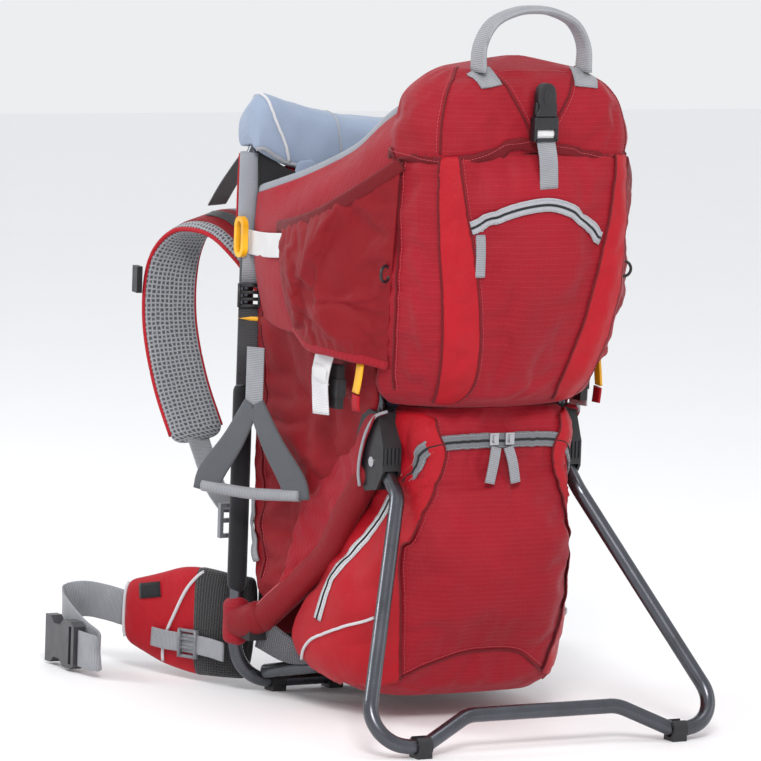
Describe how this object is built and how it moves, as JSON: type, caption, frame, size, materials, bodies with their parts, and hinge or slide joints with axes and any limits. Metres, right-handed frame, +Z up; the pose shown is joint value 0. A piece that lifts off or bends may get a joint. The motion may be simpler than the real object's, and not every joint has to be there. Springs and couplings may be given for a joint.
{
  "type": "baby carrier backpack",
  "caption": "Framed child carrier backpack with a folding kickstand, a padded cockpit, two zipped bags, foot stirrups, shoulder harness and hip belt.",
  "frame": {"origin": "on the ground, under the middle of the overall box", "axes": "+X to the carrier's right seen from behind, +Y towards the wearer, +Z up"},
  "size_m": [0.535, 0.6298, 0.7295],
  "materials": {
    "frame_tube": "satin anodised",
    "black_plastic": "moulded, fine grain",
    "steel_pin": "brushed",
    "crimson_fabric": "fine ripstop with a soft sheen",
    "bright_red_fabric": "smooth woven",
    "blue_grey_fabric": "brushed soft",
    "black_mesh": "open mesh",
    "grey_mesh": "air mesh",
    "grey_webbing": "ribbed webbing",
    "black_webbing": "ribbed webbing",
    "grey_plastic": "moulded",
    "yellow_plastic": "moulded",
    "zip_grey": "coated"
  },
  "bodies": {
    "frame": {"main_hoop_lower": "frame_tube", "main_hoop_upper": "frame_tube", "frame_ferrules": "frame_tube", "rear_hoop": "frame_tube", "base_bow": "frame_tube", "side_strut_left": "frame_tube", "side_strut_right": "frame_tube", "hinge_block_left": "black_plastic", "hinge_block_right": "black_plastic", "hinge_pins": "steel_pin", "base_feet": "black_plastic", "strut_clamps": "black_plastic", "lower_bag": "crimson_fabric", "upper_bag": "crimson_fabric", "lid_pocket": "crimson_fabric", "side_wing_left": "crimson_fabric", "side_wing_right": "crimson_fabric", "chin_pad": "blue_grey_fabric", "front_panel": "bright_red_fabric", "rear_panel": "bright_red_fabric", "strut_sleeves": "bright_red_fabric", "back_panel": "black_mesh", "back_pads": "black_mesh", "lumbar_pad": "black_mesh", "child_harness": "black_mesh", "strap_buckles": "grey_plastic", "safety_rings": "yellow_plastic", "side_release_buckles": "yellow_plastic", "lid_buckle_socket": "black_plastic", "cord_loops": "black_webbing"},
    "kickstand": {"kickstand_tube": "frame_tube", "kickstand_tongues": "black_plastic", "kickstand_feet": "black_plastic"},
    "harness": {"harness_yoke": "crimson_fabric", "shoulder_strap_left": "grey_mesh", "shoulder_strap_right": "grey_mesh", "strap_webbing": "grey_webbing", "load_lifters": "black_webbing"},
    "chest_slider_left": {"chest_slider_left": "black_plastic"},
    "chest_slider_right": {"chest_slider_right": "black_plastic"},
    "hip_left": {"hip_fin_left": "bright_red_fabric", "hip_webbing_left": "grey_webbing", "hip_buckle_socket": "grey_plastic", "fin_strap_left": "grey_webbing"},
    "hip_right": {"hip_fin_right": "bright_red_fabric", "hip_webbing_right": "grey_webbing", "hip_buckle_plug": "grey_plastic", "fin_strap_right": "grey_webbing"},
    "seat": {"seat_pad": "bright_red_fabric", "harness_buckle": "black_plastic"},
    "stirrup_left": {"stirrup_left": "black_webbing"},
    "stirrup_right": {"stirrup_right": "black_webbing"},
    "handle": {"carry_handle": "grey_webbing"},
    "lid_plug": {"lid_buckle_plug": "black_plastic"},
    "pocket_slider": {"pocket_zip_slider": "zip_grey"},
    "pocket_pull": {"pocket_zip_pull": "zip_grey"},
    "bag_slider_left": {"bag_zip_slider_left": "zip_grey"},
    "bag_slider_right": {"bag_zip_slider_right": "zip_grey"},
    "bag_pull_left": {"bag_zip_pull_left": "zip_grey"},
    "bag_pull_right": {"bag_zip_pull_right": "zip_grey"}
  },
  "joints": [
    {"name": "kickstand_fold", "type": "hinge", "parent": "frame", "child": "kickstand", "pos_m": [0, -0.132, 0.267], "axis": [1, 0, 0], "range_deg": [0, 50]},
    {"name": "harness_height", "type": "slide", "parent": "frame", "child": "harness", "axis": [0, 0, 1], "range_m": [-0.025, 0.05], "deforming": ["load_lifters", "strap_webbing"]},
    {"name": "chest_slide_left", "type": "slide", "parent": "harness", "child": "chest_slider_left", "axis": [0, 0, 1], "range_m": [-0.02, 0.015]},
    {"name": "chest_slide_right", "type": "slide", "parent": "harness", "child": "chest_slider_right", "axis": [0, 0, 1], "range_m": [-0.02, 0.015]},
    {"name": "hip_fin_left_swing", "type": "hinge", "parent": "frame", "child": "hip_left", "pos_m": [-0.128, 0.099, 0.06], "axis": [0, 0, 1], "range_deg": [-20, 18], "deforming": ["fin_strap_left"]},
    {"name": "hip_fin_right_swing", "type": "hinge", "parent": "frame", "child": "hip_right", "pos_m": [0.128, 0.099, 0.06], "axis": [0, 0, 1], "range_deg": [-18, 20], "deforming": ["fin_strap_right"]},
    {"name": "seat_height", "type": "slide", "parent": "frame", "child": "seat", "axis": [0, 0, 1], "range_m": [-0.03, 0.04]},
    {"name": "stirrup_left_swing", "type": "hinge", "parent": "frame", "child": "stirrup_left", "pos_m": [-0.172, 0.017, 0.368], "axis": [1, 0, 0], "range_deg": [-18, 5]},
    {"name": "stirrup_right_swing", "type": "hinge", "parent": "frame", "child": "stirrup_right", "pos_m": [0.172, 0.017, 0.368], "axis": [1, 0, 0], "range_deg": [-18, 5]},
    {"name": "handle_fold", "type": "hinge", "parent": "frame", "child": "handle", "pos_m": [0, -0.221, 0.67], "axis": [1, 0, 0], "range_deg": [0, 65]},
    {"name": "lid_buckle_release", "type": "slide", "parent": "frame", "child": "lid_plug", "axis": [0, 0, -1], "range_m": [0, 0.025]},
    {"name": "pocket_zip_slide", "type": "hinge", "parent": "frame", "child": "pocket_slider", "pos_m": [0, -0.243, 0.422], "axis": [0, 1, 0], "range_deg": [0, 66]},
    {"name": "pocket_pull_swing", "type": "hinge", "parent": "pocket_slider", "child": "pocket_pull", "pos_m": [-0.066, -0.2486, 0.51065], "axis": [-1, 0, 0], "range_deg": [0, 120]},
    {"name": "bag_zip_slide_left", "type": "slide", "parent": "frame", "child": "bag_slider_left", "axis": [-1, 0, 0], "range_m": [0, 0.048]},
    {"name": "bag_zip_slide_right", "type": "slide", "parent": "frame", "child": "bag_slider_right", "axis": [1, 0, 0], "range_m": [0, 0.048]},
    {"name": "bag_pull_left_swing", "type": "hinge", "parent": "bag_slider_left", "child": "bag_pull_left", "pos_m": [-0.009, -0.1926, 0.2914], "axis": [-1, 0, 0], "range_deg": [0, 120]},
    {"name": "bag_pull_right_swing", "type": "hinge", "parent": "bag_slider_right", "child": "bag_pull_right", "pos_m": [0.009, -0.1926, 0.2914], "axis": [-1, 0, 0], "range_deg": [0, 120]}
  ]
}
